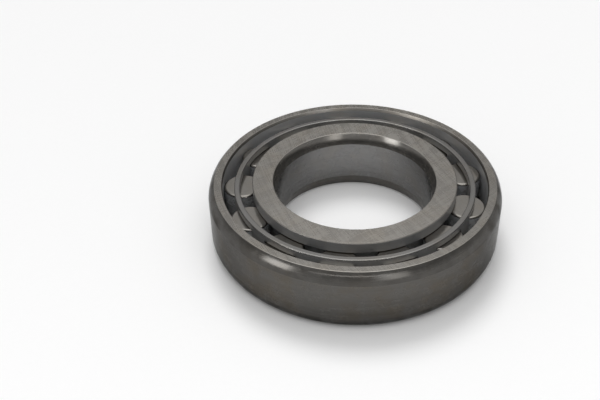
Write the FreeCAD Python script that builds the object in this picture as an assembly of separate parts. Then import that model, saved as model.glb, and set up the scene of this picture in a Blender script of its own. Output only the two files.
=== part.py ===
import FreeCAD, Part
import math
import os

# Single-row cylindrical roller bearing with a ribless outer ring, millimetres.
# The origin is the bearing's centre and +Z is its axis of rotation.

# Boundary dimensions
BORE_D = 45.0
OUTSIDE_D = 85.0
WIDTH = 19.0

# Rollers
ROLLER_COUNT = 13
ROLLER_D = 11.0
ROLLER_LENGTH = 12.0
ROLLER_EDGE_R = 0.6
PITCH_D = 65.5
FIRST_ROLLER_DEG = -13.7

# Running gaps: roller to raceway, roller end to rib, and pocket wall to roller
RACEWAY_GAP = 0.015
RIB_GAP = 0.03
POCKET_GAP = 0.12

# Slope of both rings' corners where they leave the seat
CORNER_START_DEG = 8.0

# Inner ring
RIB_D = 59.2
RIB_EDGE = 0.25
BORE_CORNER_RADIAL = 1.15
BORE_CORNER_AXIAL = 3.5
RELIEF_R = 0.45

# Outer ring
OUTSIDE_CORNER_RADIAL = 1.85
OUTSIDE_CORNER_AXIAL = 3.5
LEAD_IN_RADIAL = 0.3
LEAD_IN_AXIAL = 0.9

# Cage: a plain sleeve that lies outside the pitch circle, so that it keeps the rollers in
CAGE_INNER_D = 66.6
CAGE_OUTER_D = 69.8
CAGE_END_DEPTH = 1.2
CAGE_EDGE_R = 0.4

AXIS = FreeCAD.Vector(0, 0, 1)
ORIGIN = FreeCAD.Vector(0, 0, 0)
FULL_TURN = 360.0
HALF_WIDTH = WIDTH / 2
INNER_RACEWAY_R = (PITCH_D - ROLLER_D) / 2 - RACEWAY_GAP
OUTER_RACEWAY_R = (PITCH_D + ROLLER_D) / 2 + RACEWAY_GAP
RIB_FACE_Z = ROLLER_LENGTH / 2 + RIB_GAP


def point(radius, z):
    """A point of a ring's cross-section, in the XZ plane."""
    return FreeCAD.Vector(radius, 0, z)


def line(start, end):
    return Part.makeLine(point(*start), point(*end))


def corner(seat_end, face_edge):
    """A turned corner: an arc that leaves the seat at a slight angle and steepens towards the side face."""
    radial = face_edge[0] - seat_end[0]
    axial = face_edge[1] - seat_end[1]
    start = math.radians(CORNER_START_DEG)
    half_turn = math.atan2(abs(radial), abs(axial)) - start
    arc_r = math.hypot(radial, axial) / (2 * math.sin(half_turn))
    reach = 2 * arc_r * math.sin(half_turn / 2)
    heading = start + half_turn / 2
    middle = (
        seat_end[0] + math.copysign(reach * math.sin(heading), radial),
        seat_end[1] + math.copysign(reach * math.cos(heading), axial),
    )
    return Part.Arc(point(*seat_end), point(*middle), point(*face_edge)).toShape()


def revolve(edges):
    """The ring whose cross-section is the closed loop of edges."""
    section = Part.Face(Part.Wire(edges))
    return section.revolve(ORIGIN, AXIS, FULL_TURN)


def make_outer_ring():
    """A plain ring: raceway inside, a shallow lead-in at each end of it, rounded outside corners."""
    outside = OUTSIDE_D / 2
    face_edge = outside - OUTSIDE_CORNER_RADIAL
    seat_end = HALF_WIDTH - OUTSIDE_CORNER_AXIAL
    lead_edge = OUTER_RACEWAY_R + LEAD_IN_RADIAL
    raceway_end = HALF_WIDTH - LEAD_IN_AXIAL
    return revolve([
        line((OUTER_RACEWAY_R, -raceway_end), (OUTER_RACEWAY_R, raceway_end)),
        line((OUTER_RACEWAY_R, raceway_end), (lead_edge, HALF_WIDTH)),
        line((lead_edge, HALF_WIDTH), (face_edge, HALF_WIDTH)),
        corner((outside, seat_end), (face_edge, HALF_WIDTH)),
        line((outside, seat_end), (outside, -seat_end)),
        corner((outside, -seat_end), (face_edge, -HALF_WIDTH)),
        line((face_edge, -HALF_WIDTH), (lead_edge, -HALF_WIDTH)),
        line((lead_edge, -HALF_WIDTH), (OUTER_RACEWAY_R, -raceway_end)),
    ])


def make_inner_ring():
    """Bore, two ribs and the raceway between them, with a relief groove in each raceway corner."""
    bore = BORE_D / 2
    rib = RIB_D / 2
    face_start = bore + BORE_CORNER_RADIAL
    seat_end = HALF_WIDTH - BORE_CORNER_AXIAL
    rib_flat = rib - RIB_EDGE
    rib_top = HALF_WIDTH - RIB_EDGE
    rib_bottom = RIB_FACE_Z + RIB_EDGE
    ring = revolve([
        line((bore, -seat_end), (bore, seat_end)),
        corner((bore, seat_end), (face_start, HALF_WIDTH)),
        line((face_start, HALF_WIDTH), (rib_flat, HALF_WIDTH)),
        line((rib_flat, HALF_WIDTH), (rib, rib_top)),
        line((rib, rib_top), (rib, rib_bottom)),
        line((rib, rib_bottom), (rib_flat, RIB_FACE_Z)),
        line((rib_flat, RIB_FACE_Z), (INNER_RACEWAY_R, RIB_FACE_Z)),
        line((INNER_RACEWAY_R, RIB_FACE_Z), (INNER_RACEWAY_R, -RIB_FACE_Z)),
        line((INNER_RACEWAY_R, -RIB_FACE_Z), (rib_flat, -RIB_FACE_Z)),
        line((rib_flat, -RIB_FACE_Z), (rib, -rib_bottom)),
        line((rib, -rib_bottom), (rib, -rib_top)),
        line((rib, -rib_top), (rib_flat, -HALF_WIDTH)),
        line((rib_flat, -HALF_WIDTH), (face_start, -HALF_WIDTH)),
        corner((bore, -seat_end), (face_start, -HALF_WIDTH)),
    ])
    for side in (1, -1):
        centre = FreeCAD.Vector(0, 0, side * RIB_FACE_Z)
        ring = ring.cut(Part.makeTorus(INNER_RACEWAY_R, RELIEF_R, centre, AXIS))
    return ring


def roller_places():
    """Each roller's number, from 1, and its centre on the pitch circle."""
    for index in range(ROLLER_COUNT):
        angle = math.radians(FIRST_ROLLER_DEG + index * FULL_TURN / ROLLER_COUNT)
        x = PITCH_D / 2 * math.cos(angle)
        y = PITCH_D / 2 * math.sin(angle)
        yield index + 1, FreeCAD.Vector(x, y, 0)


def upright_cylinder(radius, length, centre):
    """A cylinder along Z, centred on a point."""
    base = centre - AXIS * (length / 2)
    return Part.makeCylinder(radius, length, base, AXIS)


def make_roller(centre):
    """A roller with both end edges rounded."""
    roller = upright_cylinder(ROLLER_D / 2, ROLLER_LENGTH, centre)
    rims = [e for e in roller.Edges if isinstance(e.Curve, Part.Circle)]
    return roller.makeFillet(ROLLER_EDGE_R, rims)


def make_cage():
    """A thin sleeve with rounded rims and one round-walled pocket for each roller."""
    length = WIDTH - 2 * CAGE_END_DEPTH
    sleeve = upright_cylinder(CAGE_OUTER_D / 2, length, ORIGIN)
    sleeve = sleeve.cut(upright_cylinder(CAGE_INNER_D / 2, length, ORIGIN))
    rims = [e for e in sleeve.Edges if isinstance(e.Curve, Part.Circle)]
    sleeve = sleeve.makeFillet(CAGE_EDGE_R, rims)
    pocket_r = ROLLER_D / 2 + POCKET_GAP
    pocket_length = ROLLER_LENGTH + 2 * POCKET_GAP
    for _, centre in roller_places():
        sleeve = sleeve.cut(upright_cylinder(pocket_r, pocket_length, centre))
    return sleeve


def main():
    parts = {
        "outer_ring": make_outer_ring(),
        "inner_ring": make_inner_ring(),
        "cage": make_cage(),
    }
    for number, centre in roller_places():
        parts[f"roller_{number:02d}"] = make_roller(centre)
    os.makedirs("parts", exist_ok=True)
    for name, shape in parts.items():
        shape.exportStep(f"parts/{name}.step")
        print(name, len(shape.Solids), "solid", round(shape.Volume, 1), "mm3", shape.isValid())


main()
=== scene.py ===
"""The looks of a cylindrical roller bearing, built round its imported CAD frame."""

import math

import bmesh
import bpy
from mathutils import Matrix, Vector


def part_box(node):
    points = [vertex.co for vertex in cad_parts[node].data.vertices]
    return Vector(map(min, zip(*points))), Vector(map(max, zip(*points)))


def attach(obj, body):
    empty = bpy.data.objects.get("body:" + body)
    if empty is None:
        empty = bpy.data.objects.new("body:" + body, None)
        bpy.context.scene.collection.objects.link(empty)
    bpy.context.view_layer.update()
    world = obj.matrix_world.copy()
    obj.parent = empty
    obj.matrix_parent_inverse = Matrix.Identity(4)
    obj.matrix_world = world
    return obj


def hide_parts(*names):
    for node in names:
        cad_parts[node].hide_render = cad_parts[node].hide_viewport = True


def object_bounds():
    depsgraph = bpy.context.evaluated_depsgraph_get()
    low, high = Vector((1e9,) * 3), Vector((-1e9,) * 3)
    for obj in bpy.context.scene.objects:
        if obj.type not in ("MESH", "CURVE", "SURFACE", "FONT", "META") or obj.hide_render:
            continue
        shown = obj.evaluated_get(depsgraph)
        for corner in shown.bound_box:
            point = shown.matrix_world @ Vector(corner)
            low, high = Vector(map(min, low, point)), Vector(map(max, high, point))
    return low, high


MM = 0.001
MICRON = 0.001 * MM

# Lengths that differ by less than this count as equal
TOUCH = 5 * MICRON

# Camera, aimed at the bearing as it lies on the floor
CAMERA_DISTANCE = 255 * MM
CAMERA_HEIGHT_DEG = 35.99
LOOK_DOWN_DEG = 37.44
LOOK_ASIDE_DEG = 4.42
ROLL_DEG = -1.54
LENS_MM = 52.63
SENSOR_MM = 36.0
CLIP_START = 10 * MM

# Mesh fineness of rings and rollers: steps round the axis, along a small edge and along a larger
# arc, and the width of the strips along a section, with the narrow strip at both ends of a long one
RING_STEPS = 288
ROLLER_STEPS = 96
EDGE_STEPS = 4
ARC_STEPS = 12
STRIP = 1.6 * MM
GUARD = 0.04 * MM

# Mesh fineness of the cage: steps across a pocket, across a bar, up a bar, through the wall and
# round a rim's edge
POCKET_STEPS = 16
BAR_STEPS = 6
BAR_LAYERS = 6
WALL_STEPS = 3
RIM_STEPS = 6

# Slope of the rings' corners where they leave the seat
CORNER_START_DEG = 8.0

# Small edges left by finishing
RING_EDGE_R = 0.12 * MM
CORNER_EDGE_R = 0.25 * MM
RIB_EDGE_R = 0.06 * MM
LEAD_EDGE_R = 0.08 * MM
POCKET_EDGE = 0.10 * MM
POCKET_EDGE_STEPS = 2
POCKET_EDGE_MIN_DEG = 50

# Noise for each lay: scale, detail and roughness
TURNED_NOISE = (1.0, 3.0, 0.6)
GROUND_NOISE = (1.0, 3.0, 0.65)
TUMBLED_NOISE = (3.0, 4.0, 0.6)

# How much wider the broad part of a lay is than its fine lines, and how much of the lay it makes up
BROAD_LAY = 9.0
BROAD_SHARE = 0.45

# Summed noise hardly leaves this range, so it is stretched to run from 0 to 1
LAY_RANGE = (0.34, 0.66)

# The two families of grinding arcs on a side face: spacing and wheel centre in millimetres, the
# second one's share, and how fast the arcs change along their length
FIRST_ARCS = (0.14, (160.0, 70.0))
SECOND_ARCS = (0.20, (-120.0, 140.0))
SECOND_ARCS_SHARE = 0.4
ARCS_RUN = 6.0

# Noise for what lies over the lay, with its scale in cycles per millimetre: slow changes of shade,
# oil, specks and tarnish
SLOW_NOISE = (0.07, 4.0, 0.55)
OIL_NOISE = (0.30, 5.0, 0.6)
SPECK_NOISE = (2.2, 2.0, 0.5)
TARNISH_NOISE = (0.11, 5.0, 0.6)

# The part of each noise over which its effect comes in, and the shade of a speck
OIL_RANGE = (0.35, 0.65)
SPECK_RANGE = (0.72, 0.78)
TARNISH_RANGE = (0.42, 0.66)
SPECK_SHADE = 0.70

# The oil film: how far it moves the steel's roughness, its own roughness and its refractive index
OIL_SPREAD = 0.08
OIL_ROUGHNESS = 0.2
OIL_IOR = 1.45

# What tarnish leaves of red, green and blue
BROWNING = (0.98, 0.88, 0.74)

# How much of a colour's warmth is taken from green; all of it is taken from blue
GREEN_WARMTH = 0.4

# A quarter turn: round lines spread a highlight across themselves, not along
ACROSS_THE_LAY = 0.25

# The least distance from a centre that a direction is worked out at, in millimetres
LEAST_RADIUS = 0.001

# Floor: half its side in metres, its shade and how far the shade wanders
FLOOR_HALF = 3.0
FLOOR_SHADE = 0.955
FLOOR_MOTTLE = 0.01
FLOOR_NOISE = (0.8, 3.0, 0.6)
FLOOR_ROUGHNESS = 0.5

# The room's brightness against the sine of the height above the horizon
ROOM_BRIGHTNESS = (
    (0.0, 0.94),
    (0.12, 0.80),
    (0.30, 0.60),
    (0.53, 0.36),
    (0.62, 0.68),
    (0.74, 0.80),
    (1.0, 2.3),
)

# Lamps that show in reflections: name, direction and height in degrees, width and height in
# metres, and power in watts
LAMPS = (
    ("window", 218, 16, (0.16, 0.22), 0.75),
    ("far_window", 298, 16, (0.15, 0.22), 0.25),
    ("strip", 270, 28, (0.50, 0.02), 0.20),
)

# A broad sun that shades the floor, its strength, and the share of the room's light on the floor
# that it takes the place of
SUN_AZIMUTH_DEG = 100
SUN_HEIGHT_DEG = 60
SUN_WIDTH_DEG = 24
SUN_STRENGTH = 1.28
SUN_SHARE = 0.30

# Distance of every light from the bearing's centre, in metres
LIGHT_DISTANCE = 0.5

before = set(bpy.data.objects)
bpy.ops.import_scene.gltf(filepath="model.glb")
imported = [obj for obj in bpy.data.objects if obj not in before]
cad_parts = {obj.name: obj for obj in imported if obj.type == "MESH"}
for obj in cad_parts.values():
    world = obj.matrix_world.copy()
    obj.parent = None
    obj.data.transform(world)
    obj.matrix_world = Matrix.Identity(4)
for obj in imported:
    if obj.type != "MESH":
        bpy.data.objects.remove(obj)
cad_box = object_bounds()


# ---------------------------------------------------------------- sizes from the CAD model

def mesh_points(node, centre=Vector((0, 0, 0))):
    """Every vertex of a CAD node as (distance from the upright axis through centre, height)."""
    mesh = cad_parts[node].data
    return [(math.hypot(v.co.x - centre.x, v.co.y - centre.y), v.co.z) for v in mesh.vertices]


def node_centre(node):
    low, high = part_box(node)
    return (low + high) / 2


def near(a, b):
    return abs(a - b) < TOUCH


def radii_at(points, height):
    """Smallest and largest radius at a height."""
    found = [r for r, z in points if near(z, height)]
    return min(found), max(found)


def top_height_at(points, radius):
    """The highest point that has this radius."""
    return max(z for r, z in points if near(r, radius))


def roller_nodes():
    return sorted(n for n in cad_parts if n.startswith("roller_"))


# ---------------------------------------------------------------- cross-sections
# A section is a closed loop of points: radius, height, finish of the strip that follows, and
# edge radius.

def turned_corner(seat_end, face_edge, finish):
    """The points inside an arc that leaves a seat at a slight angle and ends at a side face."""
    radial = face_edge[0] - seat_end[0]
    axial = face_edge[1] - seat_end[1]
    start = math.radians(CORNER_START_DEG)
    half_turn = math.atan2(abs(radial), abs(axial)) - start
    arc_r = math.hypot(radial, axial) / (2 * math.sin(half_turn))
    points = []
    for k in range(1, ARC_STEPS):
        turn = half_turn * k / ARC_STEPS
        reach = 2 * arc_r * math.sin(turn)
        radius = seat_end[0] + math.copysign(reach * math.sin(start + turn), radial)
        height = seat_end[1] + math.copysign(reach * math.cos(start + turn), axial)
        points.append((radius, height, finish, 0))
    return points


def with_mirror_image(upper, closing_finish):
    """The whole section of a ring that is the same above and below its middle plane."""
    finishes = [finish for _, _, finish, _ in reversed(upper[:-1])] + [closing_finish]
    lower = [(r, -z, finish, edge) for (r, z, _, edge), finish in zip(reversed(upper), finishes)]
    return upper + lower


def towards(start, end, distance):
    share = distance / math.dist(start, end)
    return tuple(a + (b - a) * share for a, b in zip(start, end))


def softened(section, edge_finish):
    """The section with its joints rounded to their edge radii, as radius, height and finish."""
    points = []
    for i, (r, z, finish, size) in enumerate(section):
        here = (r, z)
        if size == 0:
            points.append((r, z, finish))
            continue
        before = section[i - 1][:2]
        after = section[(i + 1) % len(section)][:2]
        back = (Vector(before) - Vector(here)).normalized()
        ahead = (Vector(after) - Vector(here)).normalized()
        half = back.angle(ahead) / 2
        reach = size / math.tan(half)
        centre = Vector(here) + (back + ahead).normalized() * (size / math.sin(half))
        first = Vector(towards(here, before, reach)) - centre
        last = Vector(towards(here, after, reach)) - centre
        sweep = math.atan2(first.x * last.y - first.y * last.x, first.dot(last))
        start = math.atan2(first.y, first.x)
        for k in range(EDGE_STEPS + 1):
            angle = start + sweep * k / EDGE_STEPS
            radius = centre.x + size * math.cos(angle)
            height = centre.y + size * math.sin(angle)
            points.append((radius, height, edge_finish if k < EDGE_STEPS else finish))
    return points


def divided(section):
    """Splits long strips evenly, with a narrow one at each end that keeps the surface straight."""
    points = []
    for i, (r, z, finish) in enumerate(section):
        here = (r, z)
        there = section[(i + 1) % len(section)][:2]
        points.append((r, z, finish))
        length = math.dist(here, there)
        if length < 4 * GUARD:
            continue
        inner = length - 2 * GUARD
        parts = max(1, round(inner / STRIP))
        for k in range(parts + 1):
            points.append((*towards(here, there, GUARD + inner * k / parts), finish))
    return points


def lathe(name, section, steps, finishes, centre=(0, 0, 0)):
    """A ring turned from a closed section, or a solid body where the section meets the axis."""
    bm = bmesh.new()
    on_axis = {i: bm.verts.new((0, 0, z)) for i, (r, z, _) in enumerate(section) if r < TOUCH}
    columns = []
    for k in range(steps):
        cosine = math.cos(math.tau * k / steps)
        sine = math.sin(math.tau * k / steps)
        columns.append([
            on_axis[i] if i in on_axis else bm.verts.new((r * cosine, r * sine, z))
            for i, (r, z, _) in enumerate(section)
        ])
    for k in range(steps):
        here, there = columns[k], columns[(k + 1) % steps]
        for i, (_, _, finish) in enumerate(section):
            j = (i + 1) % len(section)
            if i in on_axis and j in on_axis:
                continue
            corners = list(dict.fromkeys((here[i], there[i], there[j], here[j])))
            face = bm.faces.new(corners)
            face.material_index = finishes.index(finish)
    return as_object(name, bm, centre)


def as_object(name, bm, centre=(0, 0, 0)):
    """A smooth-shaded object from mesh data."""
    bmesh.ops.recalc_face_normals(bm, faces=bm.faces)
    for face in bm.faces:
        face.smooth = True
    mesh = bpy.data.meshes.new(name)
    bm.to_mesh(mesh)
    bm.free()
    piece = bpy.data.objects.new(name, mesh)
    piece.location = centre
    bpy.context.scene.collection.objects.link(piece)
    return piece


# ---------------------------------------------------------------- materials

class Shader:
    """A node material under construction."""

    def __init__(self, name):
        self.material = bpy.data.materials.new(name)
        self.material.use_nodes = True
        self.tree = self.material.node_tree
        self.tree.nodes.clear()

    def add(self, kind, inputs=None, **settings):
        node = self.tree.nodes.new(kind)
        for key, value in settings.items():
            setattr(node, key, value)
        for key, value in (inputs or {}).items():
            self.feed(node.inputs[key], value)
        return node

    def feed(self, socket, value):
        if isinstance(value, bpy.types.NodeSocket):
            self.tree.links.new(value, socket)
        else:
            socket.default_value = value

    def math(self, operation, a, b=0.0, c=0.0):
        return self.add("ShaderNodeMath", {0: a, 1: b, 2: c}, operation=operation).outputs[0]

    def about(self, value, spread, middle):
        """A 0 to 1 value turned into middle plus or minus spread."""
        return self.math("MULTIPLY_ADD", self.math("SUBTRACT", value, 0.5), 2 * spread, middle)

    def noise(self, vector, scale, detail, roughness, w=None):
        inputs = {"Vector": vector, "Scale": scale, "Detail": detail, "Roughness": roughness}
        if w is not None:
            inputs["W"] = w
        dimensions = "3D" if w is None else "4D"
        return self.add("ShaderNodeTexNoise", inputs, noise_dimensions=dimensions).outputs["Fac"]

    def ramp(self, value, low, high, out_low=0.0, out_high=1.0):
        inputs = {
            "Value": value,
            "From Min": low,
            "From Max": high,
            "To Min": out_low,
            "To Max": out_high,
        }
        return self.add("ShaderNodeMapRange", inputs, interpolation_type="SMOOTHSTEP").outputs[0]

    def vector(self, x, y, z):
        return self.add("ShaderNodeCombineXYZ", {"X": x, "Y": y, "Z": z}).outputs[0]

    def place(self):
        """The object's own coordinates in millimetres, whole and split."""
        coords = self.add("ShaderNodeTexCoord").outputs["Object"]
        scaled = self.add("ShaderNodeVectorMath", {0: coords, "Scale": 1 / MM}, operation="SCALE")
        split = self.add("ShaderNodeSeparateXYZ", {0: scaled.outputs[0]})
        return scaled.outputs[0], split.outputs["X"], split.outputs["Y"], split.outputs["Z"]


def polar(shader, x, y, centre=(0.0, 0.0)):
    """Distance from a centre, and the direction to it as a cosine and a sine."""
    dx = shader.math("SUBTRACT", x, centre[0])
    dy = shader.math("SUBTRACT", y, centre[1])
    square = shader.math("ADD", shader.math("MULTIPLY", dx, dx), shader.math("MULTIPLY", dy, dy))
    distance = shader.math("MAXIMUM", shader.math("SQRT", square), LEAST_RADIUS)
    return distance, shader.math("DIVIDE", dx, distance), shader.math("DIVIDE", dy, distance)


def mixed_lay(shader, first, second, share):
    """Two lays mixed and spread over the whole range from 0 to 1. share is the second one's."""
    both = shader.math("MULTIPLY_ADD", second, share, shader.math("MULTIPLY", first, 1 - share))
    return shader.ramp(both, *LAY_RANGE)


def turned(pitch, run=2.0):
    """Lines round the axis.

    pitch is their spacing in millimetres, and run is how fast they change along a turn.
    """
    def marks(shader, point, x, y, z):
        radius, cosine, sine = polar(shader, x, y)

        def lines(spacing, w_run):
            vector = shader.vector(
                shader.math("DIVIDE", radius, spacing),
                shader.math("DIVIDE", z, spacing),
                shader.math("MULTIPLY", cosine, w_run),
            )
            return shader.noise(vector, *TURNED_NOISE, w=shader.math("MULTIPLY", sine, w_run))

        return mixed_lay(shader, lines(pitch, run), lines(pitch * BROAD_LAY, run / 2), BROAD_SHARE)
    return marks


def ground_arcs(shader, x, y, pitch, centre):
    """Long shallow arcs that a grinding wheel leaves on a flat face."""
    distance, cosine, sine = polar(shader, x, y, centre)

    def arcs(spacing):
        vector = shader.vector(
            shader.math("DIVIDE", distance, spacing),
            shader.math("MULTIPLY", cosine, ARCS_RUN),
            shader.math("MULTIPLY", sine, ARCS_RUN),
        )
        return shader.noise(vector, *GROUND_NOISE)

    return mixed_lay(shader, arcs(pitch), arcs(pitch * BROAD_LAY), BROAD_SHARE)


def cross_ground(shader, point, x, y, z):
    """Two crossing families of grinding arcs."""
    first = ground_arcs(shader, x, y, *FIRST_ARCS)
    second = ground_arcs(shader, x, y, *SECOND_ARCS)
    return mixed_lay(shader, first, second, SECOND_ARCS_SHARE)


def tumbled(shader, point, x, y, z):
    """Small soft dents all over, from tumbling pressed parts together."""
    return shader.noise(point, *TUMBLED_NOISE)


def steel(name, colour, rough, marks, depth_um, grain=0.06, cloud=0.05, oil=0.10, aniso=0.0,
          metal=1.0, rim=0.7, tarnish=0.25):
    """Bearing steel.

    marks draws the surface's lay, depth_um deep. grain is how far the lay moves the shade and the
    roughness, cloud how far the shade changes slowly, and oil how thick the oil film is. aniso is
    how far the lay stretches a highlight, metal how metallic the steel is, rim how bright it gets
    at a glancing angle, and tarnish how brown its worst patches are.
    """
    shader = Shader(name)
    point, x, y, z = shader.place()
    lay = marks(shader, point, x, y, z)
    slow = shader.noise(point, *SLOW_NOISE)
    patch = shader.noise(point, *OIL_NOISE)
    speck = shader.noise(point, *SPECK_NOISE)

    bright = shader.about(slow, cloud, 1.0)
    bright = shader.math("MULTIPLY", bright, shader.about(lay, grain, 1.0))
    bright = shader.math("MULTIPLY", bright, shader.ramp(speck, *SPECK_RANGE, 1.0, SPECK_SHADE))
    base = shader.add("ShaderNodeRGB")
    base.outputs[0].default_value = (*colour, 1.0)
    shade = shader.add(
        "ShaderNodeVectorMath", {0: base.outputs[0], "Scale": bright}, operation="SCALE")
    brown = shader.add(
        "ShaderNodeVectorMath", {0: shade.outputs[0], 1: BROWNING}, operation="MULTIPLY")
    blotch = shader.noise(point, *TARNISH_NOISE)
    stained = shader.add("ShaderNodeMix", {
        "Factor": shader.ramp(blotch, *TARNISH_RANGE, 0.0, tarnish),
        "A": shade.outputs[0],
        "B": brown.outputs[0],
    }, data_type="VECTOR")

    oiled = shader.ramp(patch, *OIL_RANGE)
    roughness = shader.math(
        "ADD", shader.about(oiled, OIL_SPREAD / 2, rough), shader.about(lay, grain / 2, 0.0))
    inputs = {
        "Base Color": stained.outputs["Result"],
        "Metallic": metal,
        "Roughness": roughness,
        "Specular Tint": (rim, rim, rim, 1.0),
        "Coat Weight": shader.math("MULTIPLY", oiled, oil),
        "Coat Roughness": OIL_ROUGHNESS,
        "Coat IOR": OIL_IOR,
        "Anisotropic": aniso,
    }
    if aniso:
        inputs["Anisotropic Rotation"] = ACROSS_THE_LAY
        tangent = shader.add("ShaderNodeTangent", direction_type="RADIAL", axis="Z")
        inputs["Tangent"] = tangent.outputs[0]
    relief = {"Height": lay, "Strength": 1.0, "Distance": depth_um * MICRON}
    inputs["Normal"] = shader.add("ShaderNodeBump", relief).outputs[0]
    surface = shader.add("ShaderNodeBsdfPrincipled", inputs)
    shader.add("ShaderNodeOutputMaterial", {"Surface": surface.outputs[0]})
    return shader.material


def grey(value, warmth=0.12):
    return (value, value * (1 - GREEN_WARMTH * warmth), value * (1 - warmth))


def make_ring_materials():
    """The rings' visible surfaces, and the edges and grooves between them."""
    seat_lay = turned(0.10, run=3.0)
    return {
        "face": steel(
            "ground_face", grey(0.295), rough=0.27, marks=cross_ground, depth_um=2.0,
            cloud=0.09, aniso=0.3),
        "inner_face": steel(
            "ground_inner_face", grey(0.33), rough=0.27, marks=cross_ground, depth_um=2.0,
            cloud=0.09, aniso=0.3),
        "corner": steel(
            "turned_corner", grey(0.135), rough=0.22, marks=turned(0.16), depth_um=2.0,
            grain=0.08, oil=0.4, metal=0.75),
        # Partly a darker turned finish, partly painted shade from the shaded floor it reflects
        "outer_corner": steel(
            "turned_outer_corner_painted_shade", grey(0.07), rough=0.21, marks=turned(0.16), depth_um=2.0,
            grain=0.08, oil=0.4, metal=0.8, rim=0.35),
        # Painted shade: the seat's dark base stands in for the shaded floor it reflects
        "seat": steel(
            "ground_seat_painted_shade", grey(0.105, warmth=0.10), rough=0.25, marks=seat_lay, depth_um=1.2,
            grain=0.09, aniso=0.6, rim=0.5, tarnish=0.6),
        "bore": steel(
            "ground_bore", grey(0.18, warmth=0.02), rough=0.25, marks=seat_lay, depth_um=1.2,
            grain=0.08, aniso=0.6),
        # Painted light: lighter, less metallic steel lifts the shaded gaps round the rollers
        "rib": steel(
            "ground_rib_painted_light", grey(0.29, warmth=-0.01), rough=0.33, marks=seat_lay, depth_um=0.8,
            metal=0.45),
        "raceway": steel(
            "honed_raceway_painted_light", grey(0.55, warmth=-0.02), rough=0.33, marks=turned(0.08), depth_um=0.3,
            grain=0.04, metal=0.6),
        "lead": steel("turned_lead_in", grey(0.20), rough=0.35, marks=turned(0.12), depth_um=0.8),
        "edge": steel("broken_edge", grey(0.28), rough=0.30, marks=turned(0.10), depth_um=0.6),
        "groove": steel(
            "relief_groove_painted_light", grey(0.25, warmth=0.0), rough=0.50, marks=turned(0.15), depth_um=1.0,
            metal=0.5),
    }


def make_roller_materials():
    return {
        "roller_end": steel(
            "roller_end", grey(0.29), rough=0.19, marks=turned(0.08, run=1.0), depth_um=0.8,
            grain=0.07),
        "roller_edge": steel(
            "roller_edge", grey(0.22), rough=0.16, marks=turned(0.20), depth_um=0.2, grain=0.02),
        # Painted light: a light, half metallic barrel lifts the shaded gaps between the rollers
        "barrel": steel(
            "superfinished_barrel_painted_light", grey(0.52, warmth=-0.06), rough=0.26, marks=turned(0.08),
            depth_um=0.2, grain=0.04, metal=0.5),
    }


def make_cage_materials():
    return {
        # Painted light: the lighter, less metallic cage walls lift the shaded gaps round the
        # rollers
        "cage": steel(
            "tumbled_cage_painted_light", grey(0.36, warmth=0.02), rough=0.34, marks=tumbled, depth_um=4.0,
            grain=0.08, cloud=0.08, metal=0.6),
        "cage_rim": steel(
            "turned_cage_rim", grey(0.225, warmth=0.06), rough=0.19, marks=turned(0.12),
            depth_um=1.0, grain=0.08, metal=0.85),
    }


# ---------------------------------------------------------------- pieces

def dress(piece, finishes, materials, body, node):
    for finish in finishes:
        piece.data.materials.append(materials[finish])
    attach(piece, body)
    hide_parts(node)


def outer_ring_section():
    """Raceway, lead-in, side face and outside corner."""
    points = mesh_points("outer_ring")
    top = max(z for _, z in points)
    outside = max(r for r, _ in points)
    raceway = min(r for r, _ in points)
    lead, shoulder = radii_at(points, top)
    seat_end = top_height_at(points, outside)
    raceway_end = top_height_at(points, raceway)
    corner = turned_corner((outside, seat_end), (shoulder, top), "outer_corner")
    return with_mirror_image([
        (raceway, raceway_end, "lead", LEAD_EDGE_R),
        (lead, top, "face", RING_EDGE_R),
        (shoulder, top, "outer_corner", CORNER_EDGE_R),
        *reversed(corner),
        (outside, seat_end, "seat", 0),
    ], "raceway")


def inner_ring_section():
    """Bore, bore corner, side face, rib, and the relief groove in the raceway's corner."""
    points = mesh_points("inner_ring")
    top = max(z for _, z in points)
    bore = min(r for r, _ in points)
    rib = max(r for r, _ in points)
    face_start, rib_flat = radii_at(points, top)
    seat_end = top_height_at(points, bore)
    rib_top = top_height_at(points, rib)
    rib_face = min(z for r, z in points if near(r, rib_flat) and z > 0)
    raceway_end = min(z for _, z in points if z > 0)
    _, raceway = radii_at(points, raceway_end)
    relief_r = rib_face - raceway_end
    three_quarters = 1.5 * math.pi
    groove = []
    for k in range(ARC_STEPS):
        angle = three_quarters * k / ARC_STEPS
        radius = raceway + relief_r * math.cos(angle)
        height = rib_face + relief_r * math.sin(angle)
        groove.append((radius, height, "groove", 0))
    return with_mirror_image([
        (bore, seat_end, "corner", 0),
        *turned_corner((bore, seat_end), (face_start, top), "corner"),
        (face_start, top, "inner_face", CORNER_EDGE_R),
        (rib_flat, top, "lead", RIB_EDGE_R),
        (rib, rib_top, "rib", RIB_EDGE_R),
        (rib, rib_face + top - rib_top, "lead", RIB_EDGE_R),
        (rib_flat, rib_face, "rib", RIB_EDGE_R),
        *groove,
        (raceway, raceway_end, "raceway", 0),
    ], "bore")


def roller_section(node):
    """A roller's outline from the middle of one end to the middle of the other."""
    points = mesh_points(node, node_centre(node))
    radius = max(r for r, _ in points)
    half = max(z for _, z in points)
    _, flat = radii_at(points, half)
    edge_r = radius - flat
    edge = []
    for k in range(1, ARC_STEPS):
        angle = math.pi / 2 * (1 - k / ARC_STEPS)
        edge_radius = flat + edge_r * math.cos(angle)
        height = half - edge_r * (1 - math.sin(angle))
        edge.append((edge_radius, height, "roller_edge", 0))
    return with_mirror_image([
        (0.0, half, "roller_end", 0),
        (flat, half, "roller_edge", 0),
        *edge,
        (radius, half - edge_r, "barrel", 0),
    ], "roller_end")


def make_outer_ring(materials):
    finishes = ["face", "outer_corner", "seat", "raceway", "lead", "edge"]
    section = divided(softened(outer_ring_section(), "edge"))
    piece = lathe("outer_ring_visual", section, RING_STEPS, finishes)
    dress(piece, finishes, materials, "outer_ring", "outer_ring")


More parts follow.
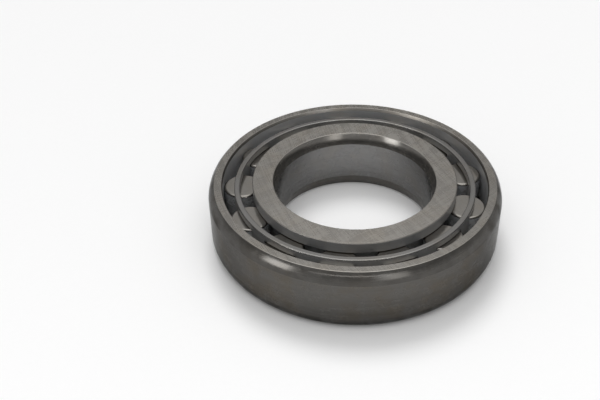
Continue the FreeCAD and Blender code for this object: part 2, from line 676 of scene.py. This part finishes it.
def make_inner_ring(materials):
    finishes = ["inner_face", "corner", "bore", "raceway", "rib", "groove", "lead", "edge"]
    section = divided(softened(inner_ring_section(), "edge"))
    piece = lathe("inner_ring_visual", section, RING_STEPS, finishes)
    dress(piece, finishes, materials, "inner_ring", "inner_ring")


def make_rollers(materials):
    finishes = ["roller_end", "roller_edge", "barrel"]
    for node in roller_nodes():
        section = divided(softened(roller_section(node), "roller_edge"))
        piece = lathe(f"{node}_visual", section, ROLLER_STEPS, finishes, node_centre(node))
        dress(piece, finishes, materials, node, node)


class CageShape:
    """The sleeve's sizes, and the grid of radii, heights and angles that its cells stand on."""

    def __init__(self):
        points = mesh_points("cage")
        first = roller_nodes()[0]
        self.inside = min(r for r, _ in points)
        self.outside = max(r for r, _ in points)
        self.top = max(z for _, z in points)
        self.rim_r = self.top - top_height_at(points, self.outside)
        self.pitch_r = node_centre(first).to_2d().length
        self.pockets = len(roller_nodes())
        self.pocket_top = min(z for _, z in points if z > 0)
        # The first pocket's own rim lies within half the way to the next roller
        half_way = self.pitch_r * math.sin(math.pi / self.pockets)
        around_roller = mesh_points("cage", node_centre(first))
        at_pocket_top = [r for r, z in around_roller if near(z, self.pocket_top)]
        self.pocket_r = max(r for r in at_pocket_top if r < half_way)
        self.first_angle = math.atan2(node_centre(first).y, node_centre(first).x)

    def radii(self):
        """Radii from the inside to the outside."""
        wall = self.outside - self.inside
        return [self.inside + wall * k / WALL_STEPS for k in range(WALL_STEPS + 1)]

    def heights(self):
        """Layer heights from the lower rim to the upper rim."""
        bars = [self.pocket_top * (2 * k / BAR_LAYERS - 1) for k in range(BAR_LAYERS + 1)]
        return [-self.top, *bars, self.top]

    def column_angle(self, column, radius):
        """Columns 0 to POCKET_STEPS span a pocket, walled by a cylinder round its roller."""
        span = POCKET_STEPS + BAR_STEPS
        segment, step = divmod(column, span)
        squares = radius ** 2 + self.pitch_r ** 2 - self.pocket_r ** 2
        half = math.acos(squares / (2 * radius * self.pitch_r))
        pitch = math.tau / self.pockets
        if step <= POCKET_STEPS:
            local = half * (2 * step / POCKET_STEPS - 1)
        else:
            local = half + (pitch - 2 * half) * (step - POCKET_STEPS) / BAR_STEPS
        return self.first_angle + pitch * segment + local


def cage_mesh(shape):
    """The skin between the sleeve's solid cells and the air."""
    radii = shape.radii()
    heights = shape.heights()
    columns = shape.pockets * (POCKET_STEPS + BAR_STEPS)
    layers = len(heights) - 1
    bm = bmesh.new()
    verts = {}

    def vert(column, ring, layer):
        key = (column % columns, ring, layer)
        if key not in verts:
            radius = radii[ring]
            angle = shape.column_angle(key[0], radius)
            place = (radius * math.cos(angle), radius * math.sin(angle), heights[layer])
            verts[key] = bm.verts.new(place)
        return verts[key]

    def solid(column, ring, layer):
        if not (0 <= ring < len(radii) - 1 and 0 <= layer < layers):
            return False
        in_pocket = column % (POCKET_STEPS + BAR_STEPS) < POCKET_STEPS
        return not (in_pocket and 0 < layer < layers - 1)

    for c in range(columns):
        for r in range(len(radii) - 1):
            for k in range(layers):
                if not solid(c, r, k):
                    continue
                d, s, m = c + 1, r + 1, k + 1
                walls = {
                    (c - 1, r, k): ((c, r, k), (c, s, k), (c, s, m), (c, r, m)),
                    (c + 1, r, k): ((d, r, k), (d, s, k), (d, s, m), (d, r, m)),
                    (c, r - 1, k): ((c, r, k), (d, r, k), (d, r, m), (c, r, m)),
                    (c, r + 1, k): ((c, s, k), (d, s, k), (d, s, m), (c, s, m)),
                    (c, r, k - 1): ((c, r, k), (d, r, k), (d, s, k), (c, s, k)),
                    (c, r, k + 1): ((c, r, m), (d, r, m), (d, s, m), (c, s, m)),
                }
                for neighbour, corners in walls.items():
                    if not solid(*neighbour):
                        bm.faces.new([vert(*corner) for corner in corners])
    return bm


def mark_rims(bm, shape, rim_finish):
    """Gives both end faces their finish, and their edges the weight that the rounding goes by."""
    weight = bm.edges.layers.float.new("bevel_weight_edge")
    ends = [f for f in bm.faces if all(near(abs(v.co.z), shape.top) for v in f.verts)]
    for face in ends:
        face.material_index = rim_finish
        for edge in face.edges:
            radii = [v.co.to_2d().length for v in edge.verts]
            if any(all(near(r, side) for r in radii) for side in (shape.inside, shape.outside)):
                edge[weight] = 1.0


def round_edges(piece, name, width, steps, method):
    """Adds a bevel whose method says which edges it takes: WEIGHT or ANGLE."""
    bevel = piece.modifiers.new(name, "BEVEL")
    bevel.width = width
    bevel.segments = steps
    bevel.limit_method = method
    bevel.harden_normals = True
    return bevel


def make_cage(materials):
    finishes = ["cage", "cage_rim"]
    rim_finish = finishes.index("cage_rim")
    shape = CageShape()
    bm = cage_mesh(shape)
    mark_rims(bm, shape, rim_finish)
    piece = as_object("cage_visual", bm)
    rims = round_edges(piece, "rims", shape.rim_r, RIM_STEPS, "WEIGHT")
    rims.material = rim_finish
    pockets = round_edges(piece, "pocket_edges", POCKET_EDGE, POCKET_EDGE_STEPS, "ANGLE")
    pockets.angle_limit = math.radians(POCKET_EDGE_MIN_DEG)
    dress(piece, finishes, materials, "cage", "cage")


# ---------------------------------------------------------------- floor, light, camera

def make_floor():
    low, _ = cad_box
    mesh = bpy.data.meshes.new("floor")
    signs = ((-1, -1), (1, -1), (1, 1), (-1, 1))
    corners = [(FLOOR_HALF * x, FLOOR_HALF * y, low.z) for x, y in signs]
    mesh.from_pydata(corners, [], [(0, 1, 2, 3)])
    floor = bpy.data.objects.new("floor", mesh)
    bpy.context.scene.collection.objects.link(floor)
    shader = Shader("pale_floor")
    point, _, _, _ = shader.place()
    shade = shader.about(shader.noise(point, *FLOOR_NOISE), FLOOR_MOTTLE, FLOOR_SHADE)
    colour = shader.add("ShaderNodeCombineColor", {"Red": shade, "Green": shade, "Blue": shade})
    inputs = {"Color": colour.outputs[0], "Roughness": FLOOR_ROUGHNESS}
    surface = shader.add("ShaderNodeBsdfDiffuse", inputs)
    shader.add("ShaderNodeOutputMaterial", {"Surface": surface.outputs[0]})
    mesh.materials.append(shader.material)


def direction(azimuth_deg, height_deg):
    """The unit vector from the bearing towards a light."""
    azimuth = math.radians(azimuth_deg)
    height = math.radians(height_deg)
    return Vector((
        math.cos(height) * math.cos(azimuth),
        math.cos(height) * math.sin(azimuth),
        math.sin(height),
    ))


def place_light(name, data, place):
    """Hangs a light at a place, facing the bearing and out of the camera's sight."""
    light = bpy.data.objects.new(name, data)
    light.location = place
    light.rotation_euler = (-place).to_track_quat("-Z", "Y").to_euler()
    light.visible_camera = False
    bpy.context.scene.collection.objects.link(light)
    return light


def make_lamp(name, azimuth_deg, height_deg, size, power):
    """A lamp that only shows in reflections, so that it casts no hard shadow."""
    data = bpy.data.lights.new(name, "AREA")
    data.shape = "RECTANGLE"
    data.size, data.size_y = size
    data.energy = power
    place = LIGHT_DISTANCE * direction(azimuth_deg, height_deg)
    lamp = place_light(name, data, place)
    lamp.visible_diffuse = False


def make_sun():
    """A broad light that shades the floor softly and doesn't show in reflections."""
    data = bpy.data.lights.new("sun", "SUN")
    data.energy = SUN_STRENGTH
    data.angle = math.radians(SUN_WIDTH_DEG)
    place = LIGHT_DISTANCE * direction(SUN_AZIMUTH_DEG, SUN_HEIGHT_DEG)
    sun = place_light("sun", data, place)
    sun.visible_glossy = False


def make_world():
    """A pale room, duller half-way up and bright overhead, that leaves the sun its share."""
    world = bpy.data.worlds.new("studio")
    world.use_nodes = True
    tree = world.node_tree
    background = tree.nodes["Background"]
    coords = tree.nodes.new("ShaderNodeTexCoord")
    split = tree.nodes.new("ShaderNodeSeparateXYZ")
    ramp = tree.nodes.new("ShaderNodeValToRGB")
    tree.links.new(coords.outputs["Generated"], split.inputs[0])
    tree.links.new(split.outputs["Z"], ramp.inputs["Fac"])
    tree.links.new(ramp.outputs["Color"], background.inputs["Color"])
    light_path = tree.nodes.new("ShaderNodeLightPath")
    strength = tree.nodes.new("ShaderNodeMath")
    strength.operation = "MULTIPLY_ADD"
    strength.inputs[1].default_value = -SUN_SHARE
    strength.inputs[2].default_value = 1.0
    tree.links.new(light_path.outputs["Is Diffuse Ray"], strength.inputs[0])
    tree.links.new(strength.outputs[0], background.inputs["Strength"])
    elements = ramp.color_ramp.elements
    elements[0].position = ROOM_BRIGHTNESS[0][0]
    elements[1].position = ROOM_BRIGHTNESS[-1][0]
    for position, _ in ROOM_BRIGHTNESS[1:-1]:
        elements.new(position)
    for element, (_, value) in zip(elements, ROOM_BRIGHTNESS):
        element.color = (value, value, value, 1)
    bpy.context.scene.world = world


def make_camera():
    """Stands off from the middle of the bearing's upper side, and looks a little aside from it."""
    top = Vector((0, 0, cad_box[1].z))
    height = math.radians(CAMERA_HEIGHT_DEG)
    away = Vector((0, -math.cos(height), math.sin(height)))
    data = bpy.data.cameras.new("camera")
    data.sensor_width = SENSOR_MM
    data.lens = LENS_MM
    data.clip_start = CLIP_START
    camera = bpy.data.objects.new("camera", data)
    turn = Matrix.Rotation(math.radians(LOOK_ASIDE_DEG), 4, "Z")
    tilt = Matrix.Rotation(math.radians(90 - LOOK_DOWN_DEG), 4, "X")
    roll = Matrix.Rotation(math.radians(ROLL_DEG), 4, "Z")
    camera.matrix_world = Matrix.Translation(top + away * CAMERA_DISTANCE) @ turn @ tilt @ roll
    bpy.context.scene.collection.objects.link(camera)
    bpy.context.scene.camera = camera


def main():
    ring_materials = make_ring_materials()
    make_outer_ring(ring_materials)
    make_inner_ring(ring_materials)
    make_rollers(make_roller_materials())
    make_cage(make_cage_materials())
    make_floor()
    make_world()
    for lamp in LAMPS:
        make_lamp(*lamp)
    make_sun()
    make_camera()
    bpy.context.scene.view_settings.view_transform = "Standard"


main()
